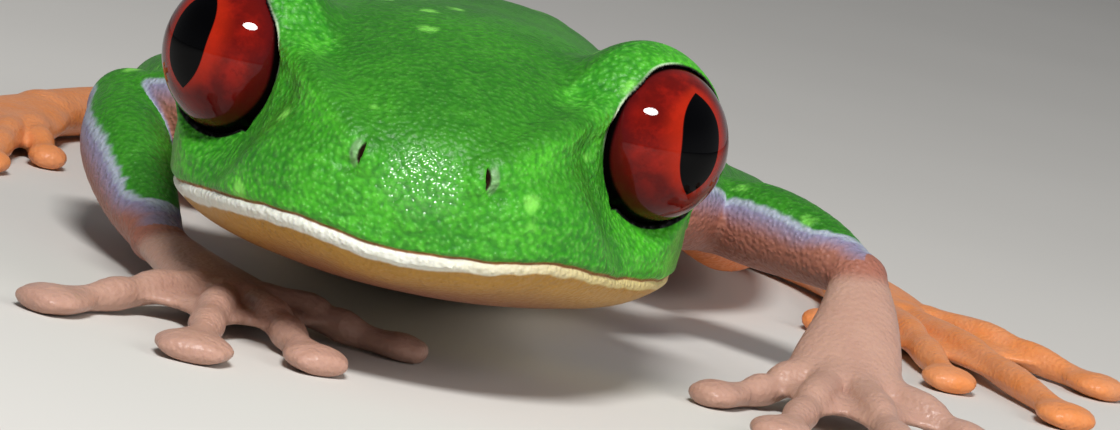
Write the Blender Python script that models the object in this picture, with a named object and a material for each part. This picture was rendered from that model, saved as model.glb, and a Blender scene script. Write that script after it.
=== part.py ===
"""A life-size model of a red-eyed tree frog, crouched on a flat floor with its chin low and its hands spread.

The frog faces -Y, its left side is +X and the floor is z = 0. The origin is the point of the belly that rests
on the floor. Sizes below are in millimetres; MM turns them into metres.
"""

import math

import bmesh
import bpy
from mathutils import Vector

MM = 0.001
GAP = 0.3          # clearance between neighbouring pieces
FLOOR = 0.0        # every sole, palm, disc and the belly is flattened at this height

# Body length from snout tip to vent is 65 mm, as in a grown female.
SNOUT_Y, VENT_Y = -38.0, 27.0
# Each station: distance behind the snout, half width, top, widest height, bottom, roundness above, below.
BODY_STATIONS = (
    (0.00, 0.0, 7.9, 7.5, 7.1, 2.0, 2.0),
    (0.35, 3.0, 9.4, 7.2, 5.3, 2.2, 2.0),
    (1.00, 4.7, 10.4, 7.0, 4.4, 2.2, 2.1),
    (2.60, 6.6, 11.5, 6.8, 3.7, 2.1, 2.2),
    (5.00, 8.3, 12.6, 6.7, 3.2, 2.1, 2.3),
    (8.00, 9.7, 13.5, 6.7, 2.8, 2.2, 2.4),
    (11.0, 10.5, 14.1, 6.7, 2.4, 2.3, 2.4),
    (15.0, 10.8, 14.3, 6.7, 2.0, 2.3, 2.4),
    (19.0, 10.0, 13.9, 6.5, 1.6, 2.3, 2.3),
    (24.0, 9.2, 13.2, 6.2, 0.9, 2.3, 2.3),
    (30.0, 9.1, 12.6, 5.9, 0.0, 2.3, 2.4),
    (36.0, 9.0, 12.4, 5.7, -0.5, 2.3, 2.5),
    (44.0, 8.4, 12.2, 5.6, -0.6, 2.3, 2.5),
    (51.0, 7.3, 11.3, 5.5, -0.3, 2.3, 2.4),
    (57.0, 6.0, 9.8, 5.4, 0.6, 2.2, 2.2),
    (61.5, 4.2, 8.0, 5.2, 2.0, 2.0, 2.0),
    (64.2, 2.1, 6.3, 5.0, 3.5, 2.0, 2.0),
    (65.0, 0.0, 5.0, 4.9, 4.8, 2.0, 2.0),
)
BODY_RINGS, BODY_SIDES = 25, 24

# The mouth line in side view, from in front of the snout to the corner of the mouth.
MOUTH_LINE = ((-45.0, 6.1), (-38.0, 6.1), (-30.0, 5.9), (-24.5, 5.3), (-21.5, 5.0))
NECK_Y = -17.0

EYE_CENTRE = Vector((8.35, -28.0, 11.0))
EYE_RADIUS = 3.4
LID_RADIUS = 4.1
# The lids are open where a larger ball, pushed out along the eye's axis, is cut from them.
OPENING_RADIUS, OPENING_PUSH = 5.2, 4.9
EYE_YAW, EYE_PITCH = math.radians(44.5), math.radians(10.0)

# Limb joints: x, y, z, half width and half height of the limb there.
LEFT_ARM = (
    ((6.5, -14.5, 6.6, 2.0, 2.2), (9.9, -10.9, 6.4, 1.8, 2.0), (12.2, -6.6, 6.0, 1.6, 1.7)),
    ((12.2, -6.6, 6.0, 1.7, 1.7), (14.6, -8.8, 6.1, 2.0, 1.9), (16.9, -11.0, 5.9, 1.7, 1.6),
     (18.9, -13.4, 5.4, 1.15, 1.0)),
    ((18.9, -13.4, 5.4, 1.2, 1.0), (19.1, -16.0, 3.9, 1.8, 1.0), (18.9, -18.6, 2.2, 2.4, 1.0),
     (18.7, -19.9, 1.5, 2.2, 0.9)),
)
RIGHT_ARM = (
    ((-6.5, -14.5, 6.2, 2.0, 2.2), (-10.6, -12.2, 6.2, 1.8, 2.0), (-14.2, -9.4, 5.4, 1.6, 1.7)),
    ((-14.2, -9.4, 5.4, 1.7, 1.8), (-13.6, -13.2, 4.3, 2.0, 2.0), (-12.4, -17.0, 3.0, 1.7, 1.7),
     (-10.8, -21.2, 1.7, 1.15, 0.9)),
    ((-10.8, -21.2, 1.7, 1.2, 0.8), (-9.0, -23.8, 1.3, 1.8, 0.8), (-7.3, -26.6, 1.1, 2.3, 0.8),
     (-6.7, -27.8, 1.0, 2.1, 0.8)),
)
# Fingers: where each leaves the palm and where its disc rests.
LEFT_FINGERS = (
    ((17.6, -18.9), (12.8, -23.6)), ((18.3, -20.0), (16.0, -30.0)),
    ((19.4, -20.1), (22.6, -31.4)), ((20.2, -18.9), (28.2, -25.4)),
)
RIGHT_FINGERS = (
    ((-5.4, -26.9), (1.4, -28.2)), ((-6.0, -28.3), (-2.2, -36.4)),
    ((-7.2, -28.6), (-7.4, -39.8)), ((-8.3, -27.6), (-14.4, -35.4)),
)
FINGER_DISC = (1.15, 1.35, 1.6, 1.45)

# Hind leg, left side; the right leg mirrors it.
THIGH = ((4.2, 22.0, 6.0, 2.5, 3.0), (8.6, 16.4, 6.7, 2.9, 3.3), (10.1, 8.0, 6.9, 2.6, 3.0),
         (10.3, -0.4, 6.5, 2.0, 2.3))
SHANK = ((11.0, -1.2, 5.8, 1.9, 2.1), (13.4, 6.0, 4.2, 2.2, 2.4), (13.8, 15.5, 3.3, 2.1, 2.1),
         (12.2, 27.0, 2.5, 1.4, 1.5))
TARSUS = ((12.2, 27.9, 1.8, 1.3, 1.4), (15.4, 23.4, 1.4, 1.3, 1.3), (18.4, 18.6, 1.3, 1.4, 1.2),
          (20.2, 15.0, 1.2, 1.7, 1.1))
SOLE = ((20.2, 15.0, 1.2, 1.6, 1.0), (21.0, 12.8, 1.1, 2.4, 0.9), (21.7, 10.5, 0.9, 2.8, 0.8),
        (22.0, 9.5, 0.8, 2.6, 0.7))
TOES = (
    ((20.7, 11.8), (18.4, 4.4)), ((21.0, 10.6), (20.8, -1.0)), ((21.8, 9.3), (24.6, -5.8)),
    ((22.9, 9.6), (30.0, -9.4)), ((24.0, 10.6), (32.8, 2.2)),
)
TOE_DISC = (0.95, 1.1, 1.3, 1.4, 1.35)

LIMB_SIDES, DIGIT_SIDES = 10, 8
SOCKET_FIT = 0.8   # a limb segment starts this much thinner than the joint it grows from
DIGIT_RADIUS = 0.72
WEB_BULGE = 0.35   # digits are this much thicker where the web joins them

SKIN = {
    "green": ((0.055, 0.33, 0.035), 0.42), "flank": ((0.07, 0.12, 0.42), 0.45),
    "lip": ((0.80, 0.76, 0.62), 0.4), "orange": ((0.75, 0.26, 0.08), 0.4),
    "hand": ((0.56, 0.29, 0.17), 0.35), "eye": ((0.42, 0.012, 0.008), 0.06),
}


def material(name):
    """A plain finish in the part's own colour."""
    colour, roughness = SKIN[name]
    made = bpy.data.materials.get(name) or bpy.data.materials.new(name)
    made.use_nodes = True
    shader = made.node_tree.nodes["Principled BSDF"]
    shader.inputs["Base Color"].default_value = (*colour, 1)
    shader.inputs["Roughness"].default_value = roughness
    shader.inputs["Metallic"].default_value = 0.0
    return made


def collection(name):
    made = bpy.data.collections.new(name)
    bpy.context.scene.collection.children.link(made)
    return made


def add_object(name, mesh, place, finish=None):
    """Links a mesh as a part, or as a hidden cutter when it has no finish."""
    thing = bpy.data.objects.new(name, mesh)
    place.objects.link(thing)
    if finish:
        mesh.materials.append(material(finish))
        mesh.shade_smooth()
    else:
        thing.hide_render = True
        thing.display_type = "WIRE"
    return thing


def along(stations, x):
    """Every column of the stations at x, on a smooth curve through them (first column is x)."""
    last = len(stations) - 1
    i = max(k for k in range(last) if stations[k][0] <= x or k == 0)
    x0, x1 = stations[i][0], stations[i + 1][0]
    t = (x - x0) / (x1 - x0)
    before, after = stations[max(i - 1, 0)], stations[min(i + 2, last)]
    values = []
    for column in range(1, len(stations[0])):
        a, b = stations[i][column], stations[i + 1][column]
        slope = (b - a) / (x1 - x0)
        m0 = slope if i == 0 else (b - before[column]) / (x1 - before[0])
        m1 = slope if i == last - 1 else (after[column] - a) / (after[0] - x0)
        h00, h10 = 2 * t**3 - 3 * t**2 + 1, t**3 - 2 * t**2 + t
        h01, h11 = 3 * t**2 - 2 * t**3, t**3 - t**2
        values.append(h00 * a + h10 * (x1 - x0) * m0 + h01 * b + h11 * (x1 - x0) * m1)
    return values


def loft(name, rings):
    """A closed mesh through rings of points; the last ring and the first are filled."""
    form = bmesh.new()
    loops = [[form.verts.new(point * MM) for point in ring] for ring in rings]
    sides = len(loops[0])
    for one, two in zip(loops, loops[1:]):
        for i in range(sides):
            j = (i + 1) % sides
            form.faces.new((one[i], one[j], two[j], two[i]))
    form.faces.new(reversed(loops[0]))
    form.faces.new(loops[-1])
    bmesh.ops.recalc_face_normals(form, faces=form.faces)
    bmesh.ops.triangulate(form, faces=[f for f in form.faces if len(f.verts) > 4])
    mesh = bpy.data.meshes.new(name)
    form.to_mesh(mesh)
    form.free()
    return mesh


def power(value, exponent):
    return math.copysign(abs(value) ** exponent, value)


def body_ring(back, grow=0.0):
    """The body's section at a distance behind the snout tip: a rounded oval, flat where it meets the floor."""
    half, top, middle, bottom, above, below = along(BODY_STATIONS, back)
    half, top, bottom = max(half, 0.25) + grow, top + grow, bottom - grow
    ring = []
    for i in range(BODY_SIDES):
        turn = 2 * math.pi * (i + 0.5) / BODY_SIDES
        bend = above if math.sin(turn) > 0 else below
        x = half * power(math.cos(turn), 2 / bend)
        reach = (top - middle) if math.sin(turn) > 0 else (middle - bottom)
        z = middle + reach * power(math.sin(turn), 2 / bend)
        ring.append(Vector((x, SNOUT_Y + back, max(z, FLOOR - grow))))
    return ring


def body_mesh(name, grow=0.0):
    """Snout to vent; rings lie closer together at both round ends."""
    length = VENT_Y - SNOUT_Y
    rings = []
    for i in range(BODY_RINGS + 1):
        share = (1 - math.cos(math.pi * i / BODY_RINGS)) / 2
        ring = body_ring(length * share, grow)
        if i in (0, BODY_RINGS):
            shift = Vector((0, -grow if i == 0 else grow, 0))
            ring = [point + shift for point in ring]
        rings.append(ring)
    return loft(name, rings)


def limb_mesh(name, joints, grow=0.0, sides=LIMB_SIDES, steps=2):
    """A tapering limb with oval sections through its joints, round at both ends and flat on the floor."""
    chain = [(k, *joint) for k, joint in enumerate(joints)]
    count = steps * (len(joints) - 1)
    spots = [along(chain, k / steps) for k in range(count + 1)]
    points = [Vector(spot[:3]) for spot in spots]
    rings = []
    for k, spot in enumerate(spots):
        ahead = (points[min(k + 1, count)] - points[max(k - 1, 0)]).normalized()
        side = ahead.cross(Vector((0, 0, 1))).normalized()
        up = side.cross(ahead)
        if k in (0, count):
            outward = -1 if k == 0 else 1
            caps = (0.92, 0.55) if k == 0 else (0.55, 0.92)
        else:
            outward, caps = 0, (0.0,)
        places = [(0.0, 1.0)] if outward == 0 else [(c, math.sqrt(1 - c * c)) for c in caps]
        if outward == -1:
            places.append((0.0, 1.0))
        if outward == 1:
            places.insert(0, (0.0, 1.0))
        for push, shrink in places:
            reach = (spot[4] + grow) * push * outward
            ring = []
            for i in range(sides):
                turn = 2 * math.pi * (i + 0.5) / sides
                point = points[k] + ahead * reach
                point = point + side * ((spot[3] + grow) * shrink * math.cos(turn))
                point = point + up * ((spot[4] + grow) * shrink * math.sin(turn))
                ring.append(Vector((point.x, point.y, max(point.z, FLOOR - grow))))
            rings.append(ring)
    return loft(name, rings)


def digit_joints(root, tip, disc, start_height):
    """A finger or toe: it arches a little, thins, and ends in a round flat disc."""
    x0, y0, x1, y1 = *root, *tip
    length = math.hypot(x1 - x0, y1 - y0)
    shape = (
        (0.00, start_height, DIGIT_RADIUS * SOCKET_FIT, DIGIT_RADIUS * SOCKET_FIT),
        (0.14, start_height * 0.8 + 0.2, DIGIT_RADIUS + WEB_BULGE, DIGIT_RADIUS),
        (0.30, start_height * 0.5 + 0.75, DIGIT_RADIUS + WEB_BULGE * 0.5, DIGIT_RADIUS),
        (0.60, 0.85, DIGIT_RADIUS, DIGIT_RADIUS * 0.95),
        (1 - 2.3 * disc / length, 0.62, DIGIT_RADIUS * 0.85, DIGIT_RADIUS * 0.85),
        (1 - 1.5 * disc / length, 0.55, disc * 0.86, DIGIT_RADIUS * 0.8),
        (1 - 0.7 * disc / length, 0.55, disc, DIGIT_RADIUS * 0.85),
        (1.0, 0.5, disc * 0.62, DIGIT_RADIUS * 0.7),
    )
    return [(x0 + (x1 - x0) * s, y0 + (y1 - y0) * s, z, w, h) for s, z, w, h in shape]


def sphere_mesh(name, radius, segments, rings):
    form = bmesh.new()
    bmesh.ops.create_uvsphere(form, u_segments=segments, v_segments=rings, radius=radius * MM)
    mesh = bpy.data.meshes.new(name)
    form.to_mesh(mesh)
    form.free()
    return mesh


def prism_mesh(name, outline, half_width=30.0):
    """A block across the body with this outline in side view (y, z)."""
    form = bmesh.new()
    face = form.faces.new([form.verts.new(Vector((-half_width, y, z)) * MM) for y, z in outline])
    moved = bmesh.ops.extrude_face_region(form, geom=[face])["geom"]
    bmesh.ops.translate(
        form, vec=Vector((2 * half_width * MM, 0, 0)),
        verts=[v for v in moved if isinstance(v, bmesh.types.BMVert)])
    bmesh.ops.recalc_face_normals(form, faces=form.faces)
    mesh = bpy.data.meshes.new(name)
    form.to_mesh(mesh)
    form.free()
    return mesh


def boolean(thing, other, operation, solver="EXACT"):
    change = thing.modifiers.new(f"{operation.lower()} {other.name}", "BOOLEAN")
    change.operation = operation
    change.solver = solver
    change.object = other


def make_torso(parts, cutters):
    """Head, lower jaw and trunk share one form, parted along the mouth and across the neck."""
    g = GAP / 2
    low, high, back = -6.0, 30.0, 40.0
    corner_y, corner_z = MOUTH_LINE[-1]
    front = MOUTH_LINE[0][0]
    upper_edge = [(y, z + g) for y, z in MOUTH_LINE[:-1]] + [(corner_y + g, corner_z + g)]
    lower_edge = [(y, z - g) for y, z in MOUTH_LINE[:-1]] + [(corner_y - g, corner_z - g)]
    outlines = {
        "head": [*upper_edge, (corner_y + g, low), (NECK_Y - g, low), (NECK_Y - g, high), (front, high)],
        "jaw": [*lower_edge, (corner_y - g, low), (front, low)],
        "trunk": [(NECK_Y + g, low), (back, low), (back, high), (NECK_Y + g, high)],
    }
    finishes = {"head": "green", "jaw": "lip", "trunk": "flank"}
    made = {}
    for name, outline in outlines.items():
        made[name] = add_object(name, body_mesh(name), parts, finishes[name])
    for side, tag in ((1, "left"), (-1, "right")):
        place = Vector((side * EYE_CENTRE.x, EYE_CENTRE.y, EYE_CENTRE.z)) * MM
        lid = add_object(f"lid_{tag}", sphere_mesh("lid", LID_RADIUS, 16, 10), cutters)
        lid.location = place
        axis = Vector((math.sin(EYE_YAW) * math.cos(EYE_PITCH) * side,
                       -math.cos(EYE_YAW) * math.cos(EYE_PITCH), math.sin(EYE_PITCH)))
        opening = add_object(f"opening_{tag}", sphere_mesh("opening", OPENING_RADIUS, 14, 8), cutters)
        opening.location = place + axis * OPENING_PUSH * MM
        boolean(made["head"], lid, "UNION")
        boolean(made["head"], opening, "DIFFERENCE")
        socket = add_object(f"socket_{tag}", sphere_mesh("socket", EYE_RADIUS + GAP, 14, 8), cutters)
        socket.location = place
        boolean(made["head"], socket, "DIFFERENCE")
        eye = add_object(f"eye_{tag}", sphere_mesh("eye", EYE_RADIUS, 16, 10), parts, "eye")
        eye.location = place
        eye.rotation_euler = axis.to_track_quat("Z", "Y").to_euler()
    for name, outline in outlines.items():
        block = add_object(f"block_{name}", prism_mesh("block", outline), cutters)
        boolean(made[name], block, "INTERSECT")


def make_chain(parts, cutters, tag, segments, body):
    """Limb segments from the body outwards; each is cut back to clear the one before it."""
    previous = body
    for order, (name, joints, finish) in enumerate(segments):
        full = f"{name}_{tag}"
        if order:
            x, y, z, half_width, half_height = joints[0]
            joints = ((x, y, z, half_width * SOCKET_FIT, half_height * SOCKET_FIT), *joints[1:])
        piece = add_object(full, limb_mesh(full, joints), parts, finish)
        boolean(piece, previous, "DIFFERENCE")
        previous = add_object(f"clear_{full}", limb_mesh("clear", joints, GAP), cutters)
    return previous


def make_digits(parts, cutters, tag, name, digits, discs, start_height, palm, finish):
    """Fingers or toes; each is cut back to clear the palm or sole, and its neighbour."""
    before = None
    for number, ((root, tip), disc) in enumerate(zip(digits, discs), 1):
        full = f"{name}_{number}_{tag}"
        joints = digit_joints(root, tip, disc, start_height)
        piece = add_object(full, limb_mesh(full, joints, 0.0, DIGIT_SIDES, 1), parts, finish)
        boolean(piece, palm, "DIFFERENCE", "MANIFOLD")
        if before:
            boolean(piece, before, "DIFFERENCE", "MANIFOLD")
        before = add_object(f"clear_{full}", limb_mesh("clear", joints, GAP, DIGIT_SIDES, 1), cutters)


def mirrored(joints):
    return tuple((-joint[0], *joint[1:]) for joint in joints)


def make_arms(parts, cutters, body):
    names = ("upper_arm", "forearm", "palm")
    finishes = ("green", "green", "hand")
    for tag, arm, fingers, height in (
            ("left", LEFT_ARM, LEFT_FINGERS, 1.5), ("right", RIGHT_ARM, RIGHT_FINGERS, 1.0)):
        palm = make_chain(parts, cutters, tag, list(zip(names, arm, finishes)), body)
        make_digits(parts, cutters, tag, "finger", fingers, FINGER_DISC, height, palm, "hand")


def make_legs(parts, cutters, body):
    names = ("thigh", "shank", "tarsus", "sole")
    finishes = ("flank", "green", "orange", "orange")
    for tag, side in (("left", 1), ("right", -1)):
        leg = (THIGH, SHANK, TARSUS, SOLE) if side == 1 else tuple(map(mirrored, (THIGH, SHANK, TARSUS, SOLE)))
        toes = [((side * a, b), (side * c, d)) for (a, b), (c, d) in TOES]
        sole = make_chain(parts, cutters, tag, list(zip(names, leg, finishes)), body)
        make_digits(parts, cutters, tag, "toe", toes, TOE_DISC, 0.8, sole, "orange")


def build():
    for thing in list(bpy.data.objects):
        bpy.data.objects.remove(thing)
    parts, cutters = collection("red_eyed_tree_frog"), collection("cutters")
    body = add_object("clear_body", body_mesh("clear_body", GAP), cutters)
    make_torso(parts, cutters)
    make_arms(parts, cutters, body)
    make_legs(parts, cutters, body)


build()
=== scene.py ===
"""The looks of a life-size red-eyed tree frog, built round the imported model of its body."""

import math

import bmesh
import bpy
import numpy as np
import openvdb
from mathutils import Matrix, Vector


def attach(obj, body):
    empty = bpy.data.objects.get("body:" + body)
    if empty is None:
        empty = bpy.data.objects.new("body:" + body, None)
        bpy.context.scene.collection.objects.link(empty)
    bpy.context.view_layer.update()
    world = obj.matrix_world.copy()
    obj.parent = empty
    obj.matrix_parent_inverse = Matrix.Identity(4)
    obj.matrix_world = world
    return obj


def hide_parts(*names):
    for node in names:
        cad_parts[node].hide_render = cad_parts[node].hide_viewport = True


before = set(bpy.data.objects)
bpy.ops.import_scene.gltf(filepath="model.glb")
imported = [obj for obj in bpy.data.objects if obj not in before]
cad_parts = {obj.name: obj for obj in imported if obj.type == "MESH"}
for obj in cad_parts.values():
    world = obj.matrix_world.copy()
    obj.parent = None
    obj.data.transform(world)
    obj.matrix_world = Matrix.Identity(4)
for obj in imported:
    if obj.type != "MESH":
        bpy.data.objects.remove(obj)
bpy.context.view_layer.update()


# ---- Head and body: the form -----------------------------------------------------------------------
# The real animal is one soft body from snout to vent under one skin, flattened on top and widest at the jaw.
# Here it is a distance field in millimetres: negative inside the flesh, zero at the skin.
SNOUT_Y, VENT_Y = -38.0, 27.0
# Distance behind the snout, half width, top, height of the widest place, bottom, roundness above and below.
BODY_STATIONS = (
    (0.00, 0.0, 7.9, 7.5, 7.1, 2.0, 2.0),
    (0.35, 3.0, 9.4, 7.2, 5.3, 2.2, 2.0),
    (1.00, 4.7, 10.4, 7.0, 4.4, 2.2, 2.1),
    (2.60, 6.6, 11.5, 6.8, 3.7, 2.1, 2.2),
    (5.00, 8.3, 12.6, 6.7, 3.2, 2.1, 2.3),
    (8.00, 9.7, 13.5, 6.7, 2.8, 2.2, 2.4),
    (11.0, 10.5, 14.1, 6.7, 2.4, 2.3, 2.4),
    (15.0, 10.8, 14.3, 6.7, 2.0, 2.3, 2.4),
    (19.0, 10.0, 13.9, 6.5, 1.6, 2.3, 2.3),
    (24.0, 9.2, 13.2, 6.2, 0.9, 2.3, 2.3),
    (30.0, 9.1, 12.6, 5.9, 0.0, 2.3, 2.4),
    (36.0, 9.0, 12.4, 5.7, -0.5, 2.3, 2.5),
    (44.0, 8.4, 12.2, 5.6, -0.6, 2.3, 2.5),
    (51.0, 7.3, 11.3, 5.5, -0.3, 2.3, 2.4),
    (57.0, 6.0, 9.8, 5.4, 0.6, 2.2, 2.2),
    (61.5, 4.2, 8.0, 5.2, 2.0, 2.0, 2.0),
    (64.2, 2.1, 6.3, 5.0, 3.5, 2.0, 2.0),
    (65.0, 0.0, 5.0, 4.9, 4.8, 2.0, 2.0),
)


def smooth_through(stations, x):
    """All columns of the stations at the places x, on a smooth curve; the first column is x itself."""
    table = np.array(stations, float)
    keys, values = table[:, 0], table[:, 1:]
    slope = np.diff(values, axis=0) / np.diff(keys)[:, None]
    tangent = np.empty_like(values)
    tangent[0], tangent[-1] = slope[0], slope[-1]
    span = keys[2:] - keys[:-2]
    tangent[1:-1] = (values[2:] - values[:-2]) / span[:, None]
    i = np.clip(np.searchsorted(keys, x, "right") - 1, 0, len(keys) - 2)
    step = keys[i + 1] - keys[i]
    t = np.clip((x - keys[i]) / step, 0, 1)[:, None]
    step = step[:, None]
    return ((2 * t**3 - 3 * t**2 + 1) * values[i] + (t**3 - 2 * t**2 + t) * step * tangent[i]
            + (3 * t**2 - 2 * t**3) * values[i + 1] + (t**3 - t**2) * step * tangent[i + 1])


backs = np.linspace(0, np.sqrt(VENT_Y - SNOUT_Y), 900) ** 2
body_table = smooth_through([(math.sqrt(row[0]), *row[1:]) for row in BODY_STATIONS], np.sqrt(backs))


def body_share(p):
    """How far out a point lies from the body's middle, as a share of the way to the skin."""
    back = np.clip(p[:, 1] - SNOUT_Y, 0.02, VENT_Y - SNOUT_Y - 0.02)
    half, top, middle, bottom, above, below = (
        np.interp(back, backs, body_table[:, k]) for k in range(6))
    rise = p[:, 2] - middle
    up = rise > 0
    reach = np.where(up, top - middle, middle - bottom)
    bend = np.where(up, above, below)
    across = np.abs(p[:, 0]) / np.maximum(half, 0.05)
    return (across**bend + (np.abs(rise) / np.maximum(reach, 0.05)) ** bend) ** (1 / bend)


def body_distance(p):
    """Distance to the body's skin, never much less than straight across from the body's middle line."""
    nudge = 0.02
    here = body_share(p)
    slope = 0
    for axis in range(3):
        q = p.copy()
        q[:, axis] += nudge
        slope = slope + ((body_share(q) - here) / nudge) ** 2
    d = (here - 1) / np.sqrt(np.maximum(slope, 1e-4))
    back = np.clip(p[:, 1] - SNOUT_Y, 0, VENT_Y - SNOUT_Y)
    rise = p[:, 2] - np.interp(back, backs, body_table[:, 2])
    far = np.hypot(p[:, 0], rise) * (1 - 1 / np.maximum(here, 1)) - 3.5
    return np.maximum.reduce([d, far, SNOUT_Y - p[:, 1], p[:, 1] - VENT_Y])


# ---- Arms and legs: the form -----------------------------------------------------------------------
# Thin limbs with slack flesh. The fingers and toes are knobbed under the joints, end in round sticky discs,
# and are joined at the root by thin webs.
# How far from a limb its distance is still worked out, and the half width of a digit, in mm.
FAR, DIGIT = 3.0, 0.72
# How softly the parts of a limb run together, then digits, webs, and a hand or foot with its limb, in mm.
PART_MELT, DIGIT_MELT, WEB_MELT, HAND_MELT = 0.4, 0.25, 0.2, 0.6
# How high the digits start, and how far along them the webs reach: both hands, then both feet.
LEFT_PALM, RIGHT_PALM, SOLE = 1.5, 1.0, 0.8
WEB_REACH = (0.36, 0.36, 0.5, 0.5)
# Joint by joint from the body outwards: x, y, z, half width, half height.
LEFT_ARM = (
    ((6.5, -14.5, 6.6, 2.0, 2.2), (9.9, -10.9, 6.4, 1.8, 2.0), (12.2, -6.6, 6.0, 1.6, 1.7)),
    ((12.2, -6.6, 6.0, 1.7, 1.7), (14.6, -8.8, 6.1, 2.0, 1.9), (16.9, -11.0, 5.9, 1.7, 1.6),
     (18.9, -13.4, 5.4, 1.15, 1.0)),
    ((18.9, -13.4, 5.4, 1.2, 1.0), (19.1, -16.0, 3.9, 1.8, 1.0), (18.9, -18.6, 2.2, 2.4, 1.0),
     (18.7, -19.9, 1.5, 2.2, 0.9)),
)
RIGHT_ARM = (
    ((-6.5, -14.5, 6.2, 2.0, 2.2), (-10.6, -12.2, 6.2, 1.8, 2.0), (-14.2, -9.4, 5.4, 1.6, 1.7)),
    ((-14.2, -9.4, 5.4, 1.7, 1.8), (-13.6, -13.2, 4.3, 2.0, 2.0), (-12.4, -17.0, 3.0, 1.7, 1.7),
     (-10.8, -21.2, 1.7, 1.15, 0.9)),
    ((-10.8, -21.2, 1.7, 1.2, 0.8), (-9.0, -23.8, 1.3, 1.8, 0.8), (-7.3, -26.6, 1.1, 2.3, 0.8),
     (-6.7, -27.8, 1.0, 2.1, 0.8)),
)
LEG = (
    ((4.2, 22.0, 6.0, 2.5, 3.0), (8.6, 16.4, 6.7, 2.9, 3.3), (10.1, 8.0, 6.9, 2.6, 3.0),
     (10.3, -0.4, 6.5, 2.0, 2.3)),
    ((11.0, -1.2, 5.8, 1.9, 2.1), (13.4, 6.0, 4.2, 2.2, 2.4), (13.8, 15.5, 3.3, 2.1, 2.1),
     (12.2, 27.0, 2.5, 1.4, 1.5)),
    ((12.2, 27.9, 1.8, 1.3, 1.4), (15.4, 23.4, 1.4, 1.3, 1.3), (18.4, 18.6, 1.3, 1.4, 1.2),
     (20.2, 15.0, 1.2, 1.7, 1.1)),
    ((20.2, 15.0, 1.2, 1.6, 1.0), (21.0, 12.8, 1.1, 2.4, 0.9), (21.7, 10.5, 0.9, 2.8, 0.8),
     (22.0, 9.5, 0.8, 2.6, 0.7)),
)
# Where each digit leaves the palm or sole and where it ends, on the floor, and the half width of its disc.
LEFT_FINGERS = (
    ((17.6, -18.9), (12.8, -23.6)), ((18.3, -20.0), (16.0, -30.0)),
    ((19.4, -20.1), (22.6, -31.4)), ((20.2, -18.9), (28.2, -25.4)),
)
RIGHT_FINGERS = (
    ((-5.4, -26.9), (1.4, -28.2)), ((-6.0, -28.3), (-2.2, -36.4)),
    ((-7.2, -28.6), (-7.4, -39.8)), ((-8.3, -27.6), (-14.4, -35.4)),
)
FINGER_DISC = (1.15, 1.35, 1.6, 1.45)
TOES = (
    ((20.7, 11.8), (18.4, 4.4)), ((21.0, 10.6), (20.8, -1.0)), ((21.8, 9.3), (24.6, -5.8)),
    ((22.9, 9.6), (30.0, -9.4)), ((24.0, 10.6), (32.8, 2.2)),
)
TOE_DISC = (0.95, 1.1, 1.3, 1.4, 1.35)


def tube(joints, steps=5):
    """A limb: points, sides, ups, half widths and half heights along a smooth curve through its joints."""
    table = smooth_through([(k, *j) for k, j in enumerate(joints)],
                           np.linspace(0, len(joints) - 1, steps * (len(joints) - 1) + 1))
    centre = table[:, :3]
    ahead = np.gradient(centre, axis=0)
    ahead /= np.linalg.norm(ahead, axis=1)[:, None]
    side = np.cross(ahead, [0, 0, 1])
    side /= np.linalg.norm(side, axis=1)[:, None]
    return centre, ahead, side, np.cross(side, ahead), table[:, 3], table[:, 4]


def tube_distance(p, limb, far):
    """Distance to a limb with oval sections; points well away from it get the value far."""
    centre, ahead, side, up, wide, tall = limb
    margin = max(wide.max(), tall.max()) + far
    near = np.all((p > centre.min(0) - margin) & (p < centre.max(0) + margin), axis=1)
    d = np.full(len(p), far)
    q = p[near]
    best = np.full(len(q), far)
    for k in range(len(centre) - 1):
        run = centre[k + 1] - centre[k]
        t = np.clip((q - centre[k]) @ run / (run @ run), 0, 1)
        off = q - centre[k] - t[:, None] * run
        w, h = wide[k] + (wide[k + 1] - wide[k]) * t, tall[k] + (tall[k + 1] - tall[k]) * t
        s, u, a = (off @ (v[k] * 0.5 + v[k + 1] * 0.5) for v in (side, up, ahead))
        share = np.sqrt((s / w) ** 2 + (u / h) ** 2 + (a / h) ** 2) + 1e-6
        rate = np.sqrt((s / w**2) ** 2 + (u / h**2) ** 2 + (a / h**2) ** 2) + 1e-6
        best = np.minimum(best, (share - 1) * share / rate)
    d[near] = best
    return d


def digit_joints(root, tip, disc, start_height):
    """A finger or toe arches a little, is knobbed under its joints, and ends in a round flat disc."""
    x0, y0, x1, y1 = *root, *tip
    length = math.hypot(x1 - x0, y1 - y0)
    neck = 1 - 2.4 * disc / length
    shape = (
        (0.00, start_height, DIGIT * 1.1, DIGIT),
        (0.40 * neck, start_height * 0.5 + 0.65, DIGIT * 1.1, DIGIT),
        (0.60 * neck, 0.92, DIGIT * 0.88, DIGIT * 0.86),
        (0.78 * neck, 0.82, DIGIT * 1.06, DIGIT * 0.98),
        (neck, 0.62, DIGIT * 0.78, DIGIT * 0.76),
        (1 - 1.7 * disc / length, 0.56, disc * 0.76, DIGIT * 0.70),
        (1 - 0.95 * disc / length, 0.56, disc, DIGIT * 0.80),
        (1 - 0.40 * disc / length, 0.50, disc * 0.84, DIGIT * 0.68),
    )
    return [(x0 + (x1 - x0) * s, y0 + (y1 - y0) * s, z, w, h) for s, z, w, h in shape]


def mirrored(joints):
    return [(-joint[0], *joint[1:]) for joint in joints]


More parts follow.
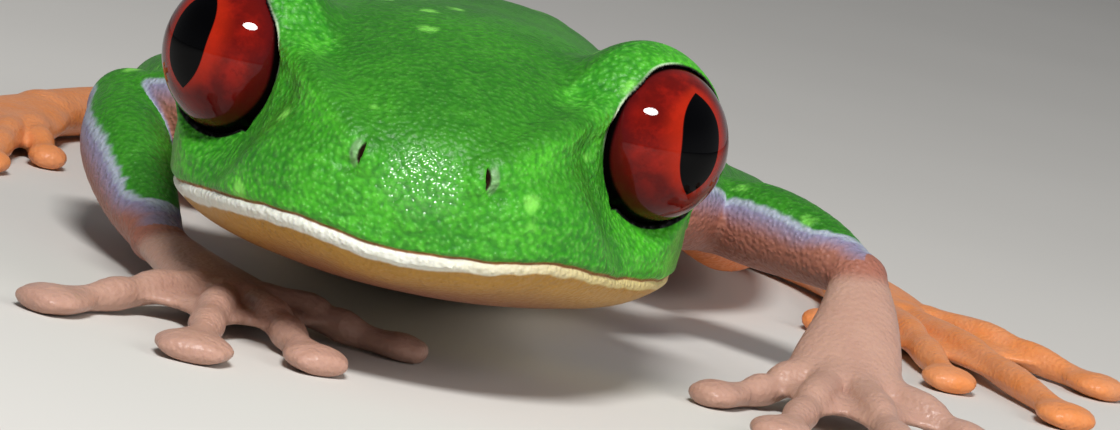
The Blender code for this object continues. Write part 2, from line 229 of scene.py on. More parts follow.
def web_strips(one, two, until):
    """Thin strips from digit to digit that join into a web with a hollow free edge."""
    strips = []
    for share in np.arange(0.1, until + 0.01, 0.055):
        ends = [smooth_through([(k, *j) for k, j in enumerate(digit)],
                               np.array([share * (len(digit) - 1)]))[0] for digit in (one, two)]
        base = (np.array(one[0][:3]) + np.array(two[0][:3])) / 2
        middle = (ends[0][:3] + ends[1][:3]) / 2
        middle = middle + (base - middle) * 0.45 * share / until
        middle[2] = max(middle[2] - 0.15, 0.3)
        strips.append(tube([(*ends[0][:3], 0.5, 0.2), (*middle, 0.5, 0.17), (*ends[1][:3], 0.5, 0.2)], 3))
    return strips


def blend(a, b, width):
    """The smaller of two distances, rounded where they meet."""
    mix = np.clip(0.5 + 0.5 * (b - a) / width, 0, 1)
    return b + (a - b) * mix - width * mix * (1 - mix)


legs = {1: LEG, -1: [mirrored(part) for part in LEG]}
limbs = [[tube(part) for part in parts] for parts in (LEFT_ARM, RIGHT_ARM, legs[1], legs[-1])]
digit_sets = []
for fingers, height in ((LEFT_FINGERS, LEFT_PALM), (RIGHT_FINGERS, RIGHT_PALM)):
    digit_sets.append([digit_joints(*ends, disc, height) for ends, disc in zip(fingers, FINGER_DISC)])
for side in (1, -1):
    toes = [((side * a, b), (side * c, d)) for (a, b), (c, d) in TOES]
    digit_sets.append([digit_joints(*ends, disc, SOLE) for ends, disc in zip(toes, TOE_DISC)])
digits = [[tube(joints, 3) for joints in digit_set] for digit_set in digit_sets]
webs = []
for digit_set, until in zip(digit_sets, WEB_REACH):
    pairs = zip(digit_set, digit_set[1:])
    webs.append([strip for one, two in pairs for strip in web_strips(one, two, until)])


def limb_distances(p):
    """For each limb: the distance to it, and to its hand or foot alone."""
    found = []
    for limb, ends, web in zip(limbs, digits, webs):
        whole, hand, sheet = (np.full(len(p), FAR) for _ in range(3))
        for order, part in enumerate(limb):
            whole = blend(whole, tube_distance(p, part, FAR), PART_MELT if order else 0.01)
        for end in ends:
            hand = blend(hand, tube_distance(p, end, FAR), DIGIT_MELT)
        for strip in web:
            sheet = blend(sheet, tube_distance(p, strip, FAR), WEB_MELT)
        hand = blend(hand, sheet, WEB_MELT)
        found.append((blend(whole, hand, HAND_MELT), hand))
    return found


# ---- Mouth and nostrils: the form ------------------------------------------------------------------
# The lips meet in a fine slit all round the muzzle, over a rolled lower lip. Each nostril is a tall slit
# near the tip of the snout with a rounded rim on its outer side. All of it is modelled in the skin itself.
# Along y: the height at which the lips meet.
MOUTH = ((-38.0, 6.15), (-36.0, 6.33), (-32.0, 5.8), (-28.0, 5.4), (-24.0, 5.2), (-21.5, 5.4), (-18.0, 6.3))
NOSTRIL = (2.36, -37.37, 9.2)


def step_up(x, low, high):
    t = np.clip((x - low) / (high - low), 0, 1)
    return t * t * (3 - 2 * t)


def carve(a, b, width):
    """a with b taken away, rounded at the edge."""
    return -blend(-a, b, width)


def ball_distance(p, centre, radii):
    off = (p - np.array(centre)) / np.array(radii)
    share = np.linalg.norm(off, axis=1) + 1e-6
    rate = np.linalg.norm(off / np.array(radii), axis=1) + 1e-6
    return (share - 1) * share / rate


def mouth_rise(p):
    """Height over the line where the lips meet, in mm."""
    x, y = p[:, 0], p[:, 1]
    dip = 0.30 * np.exp(-(x / 2.7) ** 2) * step_up(-y, 34.0, 36.5)
    wave = 0.05 * np.sin(1.3 * x + 0.6) + 0.02 * np.sin(3.7 * x + 1.2 * y)
    return p[:, 2] - np.interp(y, *np.array(MOUTH).T) + dip - wave


def with_lips(d, p):
    """A fine slit all round the muzzle, with a rolled lower lip and a slight upper edge over it."""
    rise = mouth_rise(p)
    there = step_up(-p[:, 1], 19.5, 22.5)
    roll = np.exp(-((rise + 0.36) / 0.30) ** 2) * 0.12 + np.exp(-((rise - 0.30) / 0.28) ** 2) * 0.08
    under = step_up(-rise, 0.7, 2.2) * 0.35
    slit = np.exp(-(rise / 0.09) ** 2) * 0.15
    return d + there * (slit + under - roll)


def nostril_measures(q):
    """From the nostril: how far to its inner side, how far up, and how far out of the skin."""
    out = np.array([0.50, -0.80, 0.33])
    side = np.cross(out, [0, 0, 1])
    side /= np.linalg.norm(side)
    off = q - np.array(NOSTRIL)
    return off @ side, off @ np.cross(side, out), off @ out


def with_nostrils(d, q):
    """A tall slit with a rounded rim on its outer side and a shallow dent below it."""
    inner, up, out = nostril_measures(q)

    def lump(centre, radii):
        off = np.stack([inner, up, out], axis=1)
        return ball_distance(off, centre, radii)

    d = blend(d, lump((0.05, 0.0, -0.20), (0.60, 0.75, 0.55)), 0.5)
    d = blend(d, lump((-0.24, -0.02, 0.10), (0.17, 0.46, 0.30)), 0.2)
    d = carve(d, lump((-0.42, -0.62, 0.42), (0.42, 0.26, 0.36)), 0.25)
    slit = np.sqrt((inner / 0.10) ** 2 + (up / 0.46) ** 2 + ((out - 0.30) / 0.42) ** 2)
    return carve(d, (slit - 1) * 0.13, 0.08)


# ---- Folds and ear: the form -----------------------------------------------------------------------
# A soft ridge parts the top of the snout from its side, a fold runs back over the ear, and the ear drum is a
# flat disc in a low ring. Two low swellings mark the hips.
SNOUT_RIDGE = ((6.3, -31.3, 11.9), (4.7, -34.6, 11.0), (3.0, -36.7, 9.8))
EAR_FOLD = ((11.0, -25.6, 10.3), (11.2, -22.6, 9.8), (10.6, -19.6, 8.6), (9.6, -16.8, 7.0))
EAR_DRUM, EAR_RADIUS, EAR_RING = (10.75, -22.3, 8.0), 0.85, 0.16
HIP, HIP_RADII = (2.8, 10.5, 9.9), (1.5, 3.6, 1.3)


def ridge(q, points, radii):
    """Distance to a soft fold along a bent line."""
    return tube_distance(q, tube([(*p, r, r) for p, r in zip(points, radii)], 4), FAR)


def with_folds(d, q):
    d = blend(d, ridge(q, SNOUT_RIDGE, (0.5, 0.45, 0.3)), 1.2)
    d = blend(d, ridge(q, EAR_FOLD, (0.25, 0.42, 0.45, 0.3)), 0.7)
    drum = q - np.array(EAR_DRUM)
    ring = np.hypot(np.hypot(drum[:, 1], drum[:, 2]) - EAR_RADIUS, drum[:, 0]) - EAR_RING
    d = blend(d, ring, 0.25)
    return blend(d, ball_distance(q, HIP, HIP_RADII), 1.0)


# ---- Eyelids: the form -----------------------------------------------------------------------------
# Each eye bulges out of the head in a ball of skin. The edge of the lids runs round it, nearly straight
# along the inner side of the brow, and has a small notch at its lower front corner.
EYE_CENTRE = np.array([8.35, -28.0, 11.0])
EYE_RADIUS = 3.4
EYE_YAW, EYE_PITCH = math.radians(44.5), math.radians(10.0)
eye_axis = np.array([math.sin(EYE_YAW) * math.cos(EYE_PITCH),
                     -math.cos(EYE_YAW) * math.cos(EYE_PITCH), math.sin(EYE_PITCH)])
lid_axis = np.array([math.sin(EYE_YAW), -math.cos(EYE_YAW), 0.01])
lid_inward = np.array([-math.cos(EYE_YAW), -math.sin(EYE_YAW), 0.0])
# How far before the eye's centre the lids end, where the brow cuts across, and the lids' outer radius and
# how much it grows towards the back.
LID_PLANE, BROW_CUT = 1.08, 3.14
LID_OUTSIDE, LID_GROWTH = 3.55, 0.55
LID_NOTCH, NOTCH_RADIUS = (-1.03, -2.27, -2.68), 0.42
SOCKET_GAP = 0.02


def lid_measures(q):
    """From the eye's centre: offset, reach, how far out along the lids' axis, and height to the brow."""
    off = q - EYE_CENTRE
    brow = (lid_inward + np.array([0, 0, 1.0])) / math.sqrt(2)
    return off, np.linalg.norm(off, axis=1) + 1e-6, off @ lid_axis, off @ brow


def lid_opening(reach, facing, brow):
    """Below zero in front of the lids' edge; the opening flares out over the cheek."""
    flare = np.maximum(np.sqrt(np.maximum(reach**2 - facing**2, 0)) - 3.30, 0) * 0.8
    opening = (LID_PLANE + flare - facing) / np.where(flare > 0, 1.28, 1)
    opening = -blend(-opening, 6.3 - reach, 1.2)
    return carve(opening, BROW_CUT - brow, 0.3)


def with_lids(d, q):
    off, reach, facing, brow = lid_measures(q)
    turned = np.degrees(np.arccos(np.clip(facing / reach, -1, 1)))
    lid = reach - (LID_OUTSIDE + LID_GROWTH * step_up(turned, 66, 108))
    d = blend(d, lid, 1.1)
    d = carve(d, lid_opening(reach, facing, brow), 0.3 + 1.3 * step_up(reach, 4.2, 6.0))
    d = carve(d, ball_distance(off, LID_NOTCH, (NOTCH_RADIUS,) * 3), 0.25)
    return carve(d, reach - EYE_RADIUS - SOCKET_GAP, 0.05)


# ---- Skin ------------------------------------------------------------------------------------------
# One thin moist skin over head, body and limbs, green above and cream below, grained all over. It is the
# zero surface of the forms above, melted together and cut off flat at the floor.
MM = 0.001
# How softly the limbs run into the body, and the mesh's step over the head and elsewhere, in mm.
LIMB_MELT = 0.8
FINE, COARSE = 0.10, 0.21


def skin_distance(p):
    q = p.copy()
    q[:, 0] = np.abs(q[:, 0])
    d = with_folds(body_distance(p), q)
    d = with_lips(d, p)
    d = with_nostrils(d, q)
    d = with_lids(d, q)
    for whole, _ in limb_distances(p):
        d = blend(d, whole, LIMB_MELT)
    return np.maximum(d, -p[:, 2])


def fine_steps(low, high, fine_low, fine_high, fine, coarse):
    """Grid positions from low to high, close together in the fine stretch and wider outside it."""
    spots = [fine_low]
    while spots[-1] < high:
        gap = fine if spots[-1] < fine_high else min(coarse, fine + (spots[-1] - fine_high) * 0.02)
        spots.append(spots[-1] + gap)
    front = [fine_low]
    while front[-1] > low:
        front.append(front[-1] - min(coarse, fine + (fine_low - front[-1]) * 0.02))
    return np.array(front[:0:-1] + spots)


grid_x = fine_steps(-43.5, 43.5, -13.0, 13.0, FINE, COARSE)
grid_y = fine_steps(-44.5, 31.5, -39.5, -18.0, FINE, COARSE)
grid_z = fine_steps(-0.6, 16.4, 0.0, 15.6, FINE * 1.1, FINE * 1.3)


def skin_mesh(name):
    """The skin as one quad mesh; the field is worked out only near the skin, found on a wider grid first."""
    jump, batch = 4, 400000
    grids = (grid_x, grid_y, grid_z)
    wider = [g[::jump] for g in grids]
    corners = np.stack(np.meshgrid(*wider, indexing="ij"), -1).reshape(-1, 3)
    rough = skin_distance(corners).reshape([len(g) for g in wider])
    for axis in range(3):
        rough = rough.repeat(jump, axis)
    rough = rough[:len(grid_x), :len(grid_y), :len(grid_z)]
    field = np.sign(rough).astype(np.float32)
    near = np.argwhere(np.abs(rough) < COARSE * jump * 1.25)
    for start in range(0, len(near), batch):
        part = tuple(near[start:start + batch].T)
        field[part] = skin_distance(np.stack([g[k] for g, k in zip(grids, part)], -1))
    grid = openvdb.FloatGrid(1.0)
    grid.copyFromArray(field)
    points, quads = grid.convertToQuads(isovalue=0.0)
    spots = np.stack([np.interp(points[:, k], np.arange(len(g)), g) for k, g in enumerate(grids)], -1)
    mesh = bpy.data.meshes.new(name)
    mesh.from_pydata(spots * MM, [], quads.tolist())
    mesh.shade_smooth()
    return mesh


skin_data = skin_mesh("skin")
skin = bpy.data.objects.new("skin", skin_data)
bpy.context.scene.collection.objects.link(skin)

# Along y: the height on the flank where the green ends.
FLANK_LINE = ((-40.0, 5.3), (-30.0, 5.0), (-24.0, 4.6), (-21.5, 5.3), (-19.0, 6.0), (-15.0, 7.4),
              (-8.0, 8.3), (4.0, 8.2), (14.0, 7.4), (22.0, 6.4), (27.0, 5.2))
# How steeply up a limb's skin has to face to be green: first part, second part and beyond.
ARM_GREEN, LEG_GREEN = (0.45, 0.30, 2.0), (0.80, 0.10, 0.55)
# The wet inner corner of the eye, from the eye's centre.
CANTHUS = np.array([-1.6, -3.6, 1.0])


def mark_skin(mesh):
    """Stores what the colours depend on with each point of the skin: mm, or shares from 0 to 1."""
    count = len(mesh.vertices)
    flat = np.empty(count * 3)
    mesh.vertices.foreach_get("co", flat)
    p = flat.reshape(-1, 3) / MM
    mesh.vertices.foreach_get("normal", flat)
    _, backward, up = flat.reshape(-1, 3).T.copy()
    x, y, z = p.T
    q = np.stack([np.abs(x), y, z], -1)
    off, reach, facing, brow = lid_measures(q)
    body = np.where(reach < 5.5, 0.0, body_distance(p))
    green = z - np.interp(y, *np.array(FLANK_LINE).T)
    limb, hand, hind = np.zeros((3, count))
    for order, (whole, digit) in enumerate(limb_distances(p)):
        leg = order > 1
        near = step_up(body - whole, -0.3, 0.5) * (whole < 1.5)
        parts = [tube_distance(p, part, FAR) for part in limbs[order]]
        feet = np.minimum(digit, parts[-1] + 0.3)
        feet = np.minimum(feet, parts[-2] + 0.2) if leg else feet
        own = np.minimum(np.argmin(np.stack(parts), axis=0), 2)
        edge = np.choose(own, LEG_GREEN if leg else ARM_GREEN) + 0.75 * step_up(-feet, -2.6, 0.0)
        stripe = (up * 0.9 + backward * (0.0 if leg else 0.45) - edge) * 1.6
        green = green * (1 - near) + stripe * near
        limb = np.maximum(limb, near)
        hand = np.maximum(hand, near * step_up(np.minimum(parts[0], parts[1]) - feet, -0.2, 0.7))
        hind = np.maximum(hind, near * leg)
    inner, high, out = nostril_measures(q)
    mouth = np.where(y < -17.5, mouth_rise(p), 9.0) + 6 * step_up(y, -21.8, -20.0)
    snout = np.exp(-((x / 2.1) ** 2 + ((z - 8.6) / 1.6) ** 2)) * (y < -34)
    marks = {
        "green": green * (1 - hand) - 2 * hand,
        "limb": limb,
        "hand": hand,
        "hind": hind,
        "up": up,
        "mouth": mouth + 9 * step_up(limb, 0.1, 0.6),
        "eye": reach - EYE_RADIUS + 3 * step_up(-facing, 0.4, 1.4),
        "brow": brow,
        "rim": lid_opening(reach, facing, brow) + 9 * step_up(reach, 4.6, 5.0),
        "nose": np.sqrt(((inner + 0.24) / 0.30) ** 2 + (high / 0.62) ** 2 + (out / 0.9) ** 2),
        "slit": np.sqrt((inner / 0.13) ** 2 + (high / 0.50) ** 2 + (out / 0.9) ** 2),
        "wet": np.maximum(snout, 0.9 - np.linalg.norm(off - CANTHUS, axis=1) / 1.6),
    }
    for name, values in marks.items():
        mesh.attributes.new(name, "FLOAT", "POINT").data.foreach_set("value", values.astype(np.float32))


mark_skin(skin_data)


def colour(code):
    """An sRGB hex colour as linear RGBA."""
    parts = [int(code[i:i + 2], 16) / 255 for i in (1, 3, 5)]
    return (*(c / 12.92 if c <= 0.04045 else ((c + 0.055) / 1.055) ** 2.4 for c in parts), 1.0)


def add(tree, kind, *values, out=0, **settings):
    """Adds a node and gives back its output. Values go to its inputs in order, or by name from a dict."""
    made = tree.nodes.new("ShaderNode" + kind)
    for name, value in settings.items():
        setattr(made, name, value)
    named = values[0] if values and isinstance(values[0], dict) else dict(enumerate(values))
    for name, value in named.items():
        if isinstance(value, bpy.types.NodeSocket):
            tree.links.new(value, made.inputs[name])
        else:
            made.inputs[name].default_value = value
    return made.outputs if out is None else made.outputs[out]


def painted(tree, base, *layers):
    """Colours laid over a base, each with a strength and any ramps, which fade it in between two values."""
    base = colour(base) if isinstance(base, str) else base
    for paint, share, *ramps in layers:
        paint = colour(paint) if isinstance(paint, str) else paint
        for measure, start, end in ramps:
            ramp = add(tree, "MapRange", measure, start, end, interpolation_type="SMOOTHSTEP")
            share = add(tree, "Math", share, ramp, operation="MULTIPLY")
        base = add(tree, "Mix", {0: share, 6: base, 7: paint}, out=2, data_type="RGBA")
    return base


def swayed(tree, measure, blots, reach):
    """A measure moved to and fro by noise, over the given reach in all."""
    moved = add(tree, "Math", blots, reach, measure, operation="MULTIPLY_ADD")
    half = add(tree, "Math", reach, 0.5, operation="MULTIPLY")
    return add(tree, "Math", moved, half, operation="SUBTRACT")


# Living skin: thin, moist and grained, so its shine is broad and soft, and light goes a little way in.
# Sizes in mm: patches of green, mottle, fine mottle, and the blots that fray the green's edge.
PATCH, MOTTLE, FINE_MOTTLE, EDGE_BLOT = 5.0, 1.4, 0.35, 0.8
# Grains and the wrinkles over them, and how high both and the drops of water stand. Wrinkles on living skin
# are finer than this: they are drawn as coarse as they need to be to show.
GRAIN, WRINKLE = 0.21, 0.11
GRAIN_HEIGHT, WRINKLE_HEIGHT, DROP_HEIGHT = 0.09, 0.03, 0.08
# The step from one pale speck to the next, the size and reach of the tears in its edge, the step and lean
# of the bars on the flank, and how far the belly's edge sways.
SPECK, TEAR, TEAR_REACH, BAR, BAR_LEAN, BELLY_SWAY = 2.9, 0.5, 0.6, 3.4, 2.2, 1.2


def frog_skin():
    """The skin's material. Its x, y and z are in metres, and the measures stored on the skin in mm."""
    made = bpy.data.materials.new("tree frog skin")
    made.use_nodes = True
    tree = made.node_tree
    shader = tree.nodes["Principled BSDF"]
    spot = add(tree, "TexCoord", out=None)["Object"]
    x, y, z = add(tree, "SeparateXYZ", spot, out=None)
    names = ("green", "limb", "hand", "hind", "up", "mouth", "eye", "brow", "rim", "nose", "slit", "wet")
    green_edge, limb, hand, hind, up, mouth, eye, brow, rim, nose, slit, wet = (
        add(tree, "Attribute", attribute_name=name, out=2) for name in names)
    wide, middle, fine, blots, wrinkles = (
        add(tree, "TexNoise", {"Vector": spot, "Scale": 1 / (size * MM), "Detail": detail})
        for size, detail in ((PATCH, 2), (MOTTLE, 3), (FINE_MOTTLE, 2), (EDGE_BLOT, 2), (WRINKLE, 2)))
    grain = add(tree, "TexVoronoi", {"Vector": spot, "Scale": 1 / (GRAIN * MM)}, feature="SMOOTH_F1")
    jolt = add(tree, "TexNoise", {"Vector": spot, "Scale": 1 / (TEAR * MM)}, out=1)
    jolt = add(tree, "VectorMath", jolt, (TEAR_REACH * MM,) * 3, operation="MULTIPLY")
    torn = add(tree, "VectorMath", spot, jolt, operation="ADD")
    specks = add(tree, "TexVoronoi", {"Vector": torn, "Scale": 1 / (SPECK * MM)})
    # Leaf green in patches, each grain paler on top and dark between, painted shade on the crown, and torn
    # specks.
    green = painted(
        tree, "#2f8a16",
        ("#46ae1f", 1.0, (wide, 0.38, 0.66)),
        ("#5ac42e", 0.60, (middle, 0.48, 0.80)),
        ("#84d862", 0.26, (grain, 0.50, 0.10)),
        ("#1b621c", 0.42, (grain, 0.42, 0.75)),
        ("#1f6420", 0.30, (fine, 0.52, 0.40)),
        # Painted shade: skin that faces up is darker, except round the eyes.
        ("#225f10", 0.60, (up, 0.15, 0.75), (eye, 1.2, 2.6)),
        ("#86dc58", 0.75, (specks, 0.20, 0.08)))
    # The flank is violet blue with upright cream bars that lean and break, over a cream belly.
    lean = add(tree, "Math", middle, BAR_LEAN * MM, y, operation="MULTIPLY_ADD")
    wave = add(tree, "Math", lean, 2 * math.pi / (BAR * MM), operation="MULTIPLY")
    wave = add(tree, "Math", wave, operation="SINE")
    flank = painted(tree, "#27408f", ("#4a4fa8", wide), ("#ecd98a", 1.0, (wave, 0.50, 0.78)))
    belly = painted(tree, "#efe3c6", ("#e2c9a0", middle))
    low = add(tree, "Math", middle, BELLY_SWAY * MM, z, operation="MULTIPLY_ADD")
    body_only = add(tree, "Math", 1.0, limb, operation="SUBTRACT")
    # Arms are lilac beside the green and brownish pink below it, legs blue and orange.
    arm = painted(tree, "#85829f", ("#9c6453", 1.0, (green_edge, -0.15, -1.3)))
    leg = painted(tree, "#3d55a5", ("#d8762f", 1.0, (green_edge, -0.2, -0.9)))
    arm_or_leg = painted(tree, arm, (leg, hind))
    # The green ends in an uneven edge with a thin pale line along it. Hands are dull pink, feet orange.
    uneven = add(tree, "MapRange", {0: limb, 3: 1.1, 4: 0.2})
    edge = swayed(tree, green_edge, blots, uneven)
    pale_line = painted(tree, "#dfe3b0", ("#a9b4bd", limb))
    half_mottle = add(tree, "Math", middle, 0.5, operation="MULTIPLY")
    foot = painted(tree, "#ad8474", ("#e2822f", hind), ("#c8a592", half_mottle))
    # The lower jaw: painted shade, tan under the chin and browner further under; cream further back.
    mouth = swayed(tree, mouth, middle, 0.16)
    jaw = painted(tree, "#ae8033", ("#7a4a34", 1.0, (mouth, -0.8, -2.4)),
                  ("#dcc88e", 1.0, (y, -0.027, -0.0215)))
    # Its lip is white, yellower to the left.
    faint = add(tree, "Math", fine, 0.25, operation="MULTIPLY")
    lip = painted(tree, "#dfe0d6", ("#cdb978", 1.0, (x, -0.001, 0.009)), ("#b9b39a", faint))
    narrower = add(tree, "MapRange", x, -0.001, 0.008, 0.0, 0.24, interpolation_type="SMOOTHSTEP")
    low_edge = add(tree, "Math", swayed(tree, mouth, middle, 0.22), narrower, operation="SUBTRACT")
    base = painted(
        tree, flank,
        (arm_or_leg, limb),
        (belly, body_only, (low, 0.0036, 0.0024)),
        (pale_line, 0.7, (edge, -0.36, -0.14), (hand, 0.12, 0.0)),
        (green, 1.0, (edge, -0.10, 0.12)),
        (foot, hand),
        # Below the mouth, the jaw with its painted shade under the chin.
        (jaw, 1.0, (mouth, 0.02, -0.04)),
        (lip, 1.0, (low_edge, -0.70, -0.58), (mouth, 0.0, -0.06)),
        # Painted shade: a reddish brown line along the slit where the lips meet.
        ("#8e4f2e", 0.8, (mouth, -0.08, -0.02), (mouth, 0.10, 0.04), (y, -0.0214, -0.0226)),
        # A pale rim along the brow as painted highlight, black inside the lids as painted shade.
        ("#cfe6c0", 1.0, (rim, 0.24, 0.12), (brow, 2.1, 3.0), (eye, 0.75, 0.5)),
        ("#060504", 1.0, (rim, 0.07, 0.04), (brow, 2.1, 3.0), (eye, 0.75, 0.5)),
        # More painted shade: black on the socket's skin next to the eyeball.
        ("#060504", 1.0, (eye, 0.30, 0.22), (rim, 0.10, 0.05)),
        ("#060504", 1.0, (eye, 0.20, 0.10)),
        # The nostrils' grey rims, and their slits dark with painted shade.
        ("#86a27c", 0.6, (nose, 1.15, 0.7)),
        ("#2c190f", 1.0, (slit, 1.15, 0.80)))
    tree.links.new(base, shader.inputs["Base Color"])
    # The relief is one low dome to each grain, flatter on hands and feet, over a finer crinkle.
    crinkle = add(tree, "Bump", {"Height": wrinkles, "Distance": WRINKLE_HEIGHT * MM, "Strength": 0.6})
    dome = add(tree, "MapRange", grain, 0.0, 0.8, 1.0, 0.0)
    dome = add(tree, "Math", dome, add(tree, "MapRange", {0: hand, 3: 1.0, 4: 0.45}), operation="MULTIPLY")
    relief = add(tree, "Bump", {"Height": dome, "Distance": GRAIN_HEIGHT * MM, "Strength": 0.9,
                                "Normal": crinkle})
    tree.links.new(relief, shader.inputs["Normal"])
    # Water beads on the tip of the snout: a clear coat with a small round drop on each grain.
    wet = add(tree, "MapRange", wet, 0.35, 0.75, interpolation_type="SMOOTHSTEP")
    drops = add(tree, "TexVoronoi", {"Vector": spot, "Scale": 1 / (GRAIN * MM)})
    drops = add(tree, "Math", drops, 2.0, operation="POWER")
    drops = add(tree, "Bump", {"Height": drops, "Distance": DROP_HEIGHT * MM, "Strength": 1.0}, invert=True)
    tree.links.new(wet, shader.inputs["Coat Weight"])
    tree.links.new(drops, shader.inputs["Coat Normal"])
    moist = add(tree, "Math", hand, wet, operation="ADD")
    moist = add(tree, "Math", moist, 0.10, operation="MULTIPLY")
    matt = add(tree, "MapRange", {0: fine, 3: 0.38, 4: 0.55})
    tree.links.new(add(tree, "Math", matt, moist, operation="SUBTRACT"), shader.inputs["Roughness"])
    shader.inputs["Specular IOR Level"].default_value = 0.35
    shader.inputs["Coat Roughness"].default_value = 0.04
    shader.inputs["Coat IOR"].default_value = 1.6
    shader.inputs["Subsurface Weight"].default_value = 0.12
    shader.inputs["Subsurface Radius"].default_value = (0.0012, 0.0009, 0.0004)
    shader.inputs["Subsurface Scale"].default_value = 0.5
    return made


skin_data.materials.append(frog_skin())
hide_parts(*[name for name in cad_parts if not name.startswith("eye_")])
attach(skin, "root")


# ---- Eyes ------------------------------------------------------------------------------------------
# A wet ball in a socket of skin: a red iris with a fine mottle, brighter along the tall lens-shaped pupil,
# and black beyond the iris, where the lids close round it.
def eyeball_mesh(name):
    form = bmesh.new()
    bmesh.ops.create_uvsphere(form, u_segments=96, v_segments=64, radius=EYE_RADIUS * MM)
    mesh = bpy.data.meshes.new(name)
    form.to_mesh(mesh)
    form.free()
    mesh.shade_smooth()
    return mesh


# Iris under a film of water: the film alone shines, and the iris below it is matt. Its places are angles in
# degrees from the eye's axis: outwards, upwards, and in any direction.
PUPIL_HALF_WIDTH, PUPIL_HALF_HEIGHT, PUPIL_INWARD = 17.5, 37.5, 1.5
IRIS_EDGE = (63.5, 66.5)
# The mottle and the fine veins of the iris, and how high the veins stand, in mm.
IRIS_BLOT, IRIS_VEIN, VEIN_HEIGHT = 1.3, 0.35, 0.02


def eye_material():
    made = bpy.data.materials.new("wet eye")
    made.use_nodes = True
    tree = made.node_tree
    shader = tree.nodes["Principled BSDF"]
    spot = add(tree, "TexCoord", out=None)["Object"]
    x, y, z = add(tree, "SeparateXYZ", spot, out=None)
    outward = add(tree, "Attribute", attribute_name="side", out=2)
    axial = add(tree, "Math", z, EYE_RADIUS * MM, operation="DIVIDE")
    across = add(tree, "Math", x, z, operation="ARCTAN2")
    over = add(tree, "Math", y, z, operation="ARCTAN2")
    turned = add(tree, "Math", axial, operation="ARCCOSINE")
    across, over, turned = (add(tree, "Math", angle, operation="DEGREES")
                            for angle in (across, over, turned))
    across = add(tree, "Math", across, outward, operation="MULTIPLY")
    wide = add(tree, "Math", across, PUPIL_INWARD, operation="ADD")
    wide, tall = (add(tree, "Math", add(tree, "Math", angle, half, operation="DIVIDE"), operation="ABSOLUTE")
                  for angle, half in ((wide, PUPIL_HALF_WIDTH), (over, PUPIL_HALF_HEIGHT)))
    tall = add(tree, "Math", tall, 3.6, operation="POWER")
    lens = add(tree, "Math", wide, tall, operation="ADD")
    edge = add(tree, "Math", across, 0.03, turned, operation="MULTIPLY_ADD")
    edge = add(tree, "Math", over, 0.07, edge, operation="MULTIPLY_ADD")
    blots, veins = (
        add(tree, "TexNoise", {"Vector": spot, "Scale": 1 / (size * MM), "Detail": detail, "Roughness": 0.6})
        for size, detail in ((IRIS_BLOT, 4), (IRIS_VEIN, 3)))
    base = painted(
        tree, "#5c0c08",
        ("#86150c", 1.0, (blots, 0.38, 0.66)),
        ("#5a0a08", 0.50, (veins, 0.52, 0.68)),
        ("#b3270d", 0.55, (lens, 2.2, 1.1)),
        ("#4a0a0c", 1.0, (turned, 50.0, 66.0)),
        ("#3c0709", 0.80, (across, 10.0, 34.0)),
        ("#4a0a0a", 0.55, (over, -18.0, -50.0)),
        ("#050303", 1.0, (edge, *IRIS_EDGE)),
        ("#020203", 1.0, (lens, 1.04, 0.98)))
    tree.links.new(base, shader.inputs["Base Color"])
    film = add(tree, "MapRange", edge, *IRIS_EDGE, 1.0, 0.15, interpolation_type="SMOOTHSTEP")
    thin = add(tree, "MapRange", lens, 1.04, 0.98, 0.0, 0.5, interpolation_type="SMOOTHSTEP")
    tree.links.new(add(tree, "Math", film, thin, operation="SUBTRACT"), shader.inputs["Coat Weight"])
    relief = add(tree, "Bump", {"Height": veins, "Distance": VEIN_HEIGHT * MM, "Strength": 0.4})
    tree.links.new(relief, shader.inputs["Normal"])
    shader.inputs["Roughness"].default_value = 0.5
    shader.inputs["Specular IOR Level"].default_value = 0.0
    shader.inputs["Coat Roughness"].default_value = 0.015
    shader.inputs["Coat IOR"].default_value = 1.28
    return made


wet_eye = eye_material()
for side, tag in ((1, "left"), (-1, "right")):
    ball = eyeball_mesh(f"eyeball_{tag}")
    sides = [float(side)] * len(ball.vertices)
    ball.attributes.new("side", "FLOAT", "POINT").data.foreach_set("value", sides)
    eye = bpy.data.objects.new(f"eyeball_{tag}", ball)
    bpy.context.scene.collection.objects.link(eye)
    axis = Vector(eye_axis * [side, 1, 1])
    level = Vector((0, 0, 1)).cross(axis).normalized()
    turn = Matrix((level, axis.cross(level), axis)).transposed()
    eye.matrix_world = Matrix.Translation(Vector(EYE_CENTRE * [side, 1, 1]) * MM) @ turn.to_4x4()
    eye.data.materials.append(wet_eye)
    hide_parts(f"eye_{tag}")
    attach(eye, "root")


# ---- Floor and light -------------------------------------------------------------------------------
# A pale matt studio floor of paper, one small soft lamp high in front, a wide soft fill from the frog's left
# that the eyes don't mirror, and a dim surround, lighter near the horizon and on the frog's left.
# The floor in metres, and the clouds in its tone in mm.
FLOOR_SIZE, CLOUD = 3, 40.0
bpy.ops.mesh.primitive_plane_add(size=FLOOR_SIZE)
floor = bpy.context.object
floor.name = "floor"
# Uncoated paper is matt, so it mirrors nothing and shows hardly a cloud in its tone.
paper = bpy.data.materials.new("pale studio paper")
paper.use_nodes = True
tree = paper.node_tree
spot = add(tree, "TexCoord", out=None)["Object"]
cloud = add(tree, "TexNoise", {"Vector": spot, "Scale": 1 / (CLOUD * MM)})
cloud = painted(tree, "#cfccc6", ("#d8d5cf", cloud))
tree.links.new(cloud, tree.nodes["Principled BSDF"].inputs["Base Color"])
tree.nodes["Principled BSDF"].inputs["Roughness"].default_value = 0.85
floor.data.materials.append(paper)

world = bpy.data.worlds.new("soft surround")
world.use_nodes = True
tree = world.node_tree
direction = add(tree, "TexCoord", out=None)["Generated"]
beside, _, above = add(tree, "SeparateXYZ", direction, out=None)
glow = painted(tree, (0.34, 0.345, 0.35, 1), ((0.14, 0.143, 0.15, 1), 1.0, (above, 0.0, 0.55)))
strength = add(tree, "MapRange", beside, -1.0, 1.0, 0.7, 1.5)
tree.links.new(glow, tree.nodes["Background"].inputs["Color"])
tree.links.new(strength, tree.nodes["Background"].inputs["Strength"])
bpy.context.scene.world = world


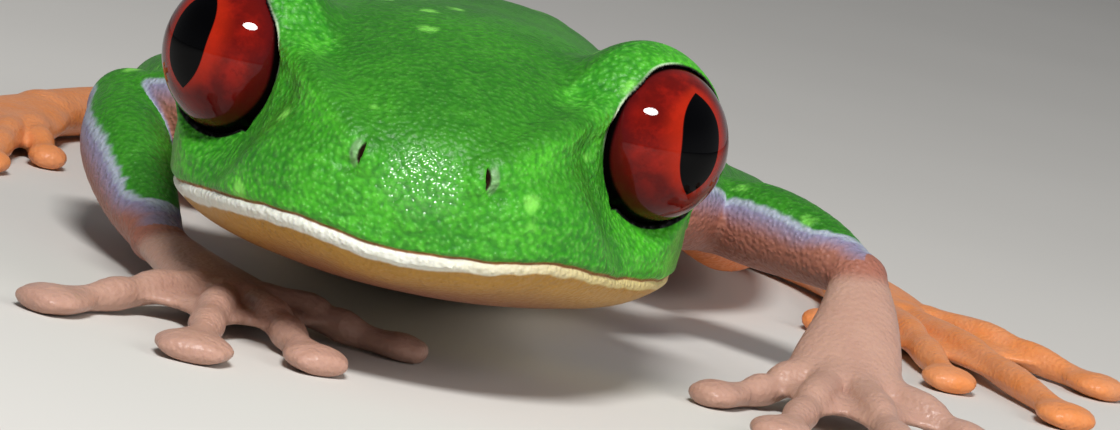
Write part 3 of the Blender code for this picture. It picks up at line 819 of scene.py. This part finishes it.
def soft_lamp(name, shape, size, energy, place):
    """An area lamp aimed at the frog's head."""
    light = bpy.data.lights.new(name, "AREA")
    light.shape, light.energy = shape, energy
    light.size, light.size_y = size
    lamp = bpy.data.objects.new(name, light)
    bpy.context.scene.collection.objects.link(lamp)
    lamp.location = place
    aim = Vector((0, -0.028, 0.011))
    lamp.rotation_euler = (aim - lamp.location).to_track_quat("-Z", "Y").to_euler()
    return lamp


soft_lamp("soft lamp", "ELLIPSE", (0.10, 0.055), 1.0, (0.0, -0.230, 0.232))
fill = soft_lamp("soft fill", "DISK", (0.30, 0.30), 0.9, (0.42, -0.32, 0.30))
fill.visible_glossy = False


# ---- Camera ----------------------------------------------------------------------------------------
# A long macro lens in front of the frog and a little above it, rolled so that the frog's left eye is the
# lower one. The head takes up half of the frame's width. Lengths in mm.
LENS_DISTANCE, FIELD_WIDTH, SENSOR_WIDTH = 220.0, 45.7, 36.0
LENS_RISE, LENS_ROLL = math.radians(7.5), math.radians(12.0)
AIM_RIGHT, AIM_DOWN = 4.68, 4.78

level_right = Vector((1, 0, 0))
level_up = Vector((0, math.sin(LENS_RISE), math.cos(LENS_RISE)))
look = Vector((0, math.cos(LENS_RISE), -math.sin(LENS_RISE)))
frame_right = level_right * math.cos(LENS_ROLL) + level_up * math.sin(LENS_ROLL)
frame_up = level_up * math.cos(LENS_ROLL) - level_right * math.sin(LENS_ROLL)
between_eyes = Vector((0, EYE_CENTRE[1], EYE_CENTRE[2]))
aim = between_eyes + frame_right * AIM_RIGHT - frame_up * AIM_DOWN

lens = bpy.data.cameras.new("lens")
lens.sensor_width = SENSOR_WIDTH
lens.lens = SENSOR_WIDTH * LENS_DISTANCE / FIELD_WIDTH
lens.clip_start, lens.clip_end = 0.01, 20.0
camera = bpy.data.objects.new("camera", lens)
bpy.context.scene.collection.objects.link(camera)
turn = Matrix((frame_right, frame_up, -look)).transposed()
camera.matrix_world = Matrix.Translation((aim - look * LENS_DISTANCE) * MM) @ turn.to_4x4()
bpy.context.scene.camera = camera
bpy.context.scene.view_settings.view_transform = "Standard"
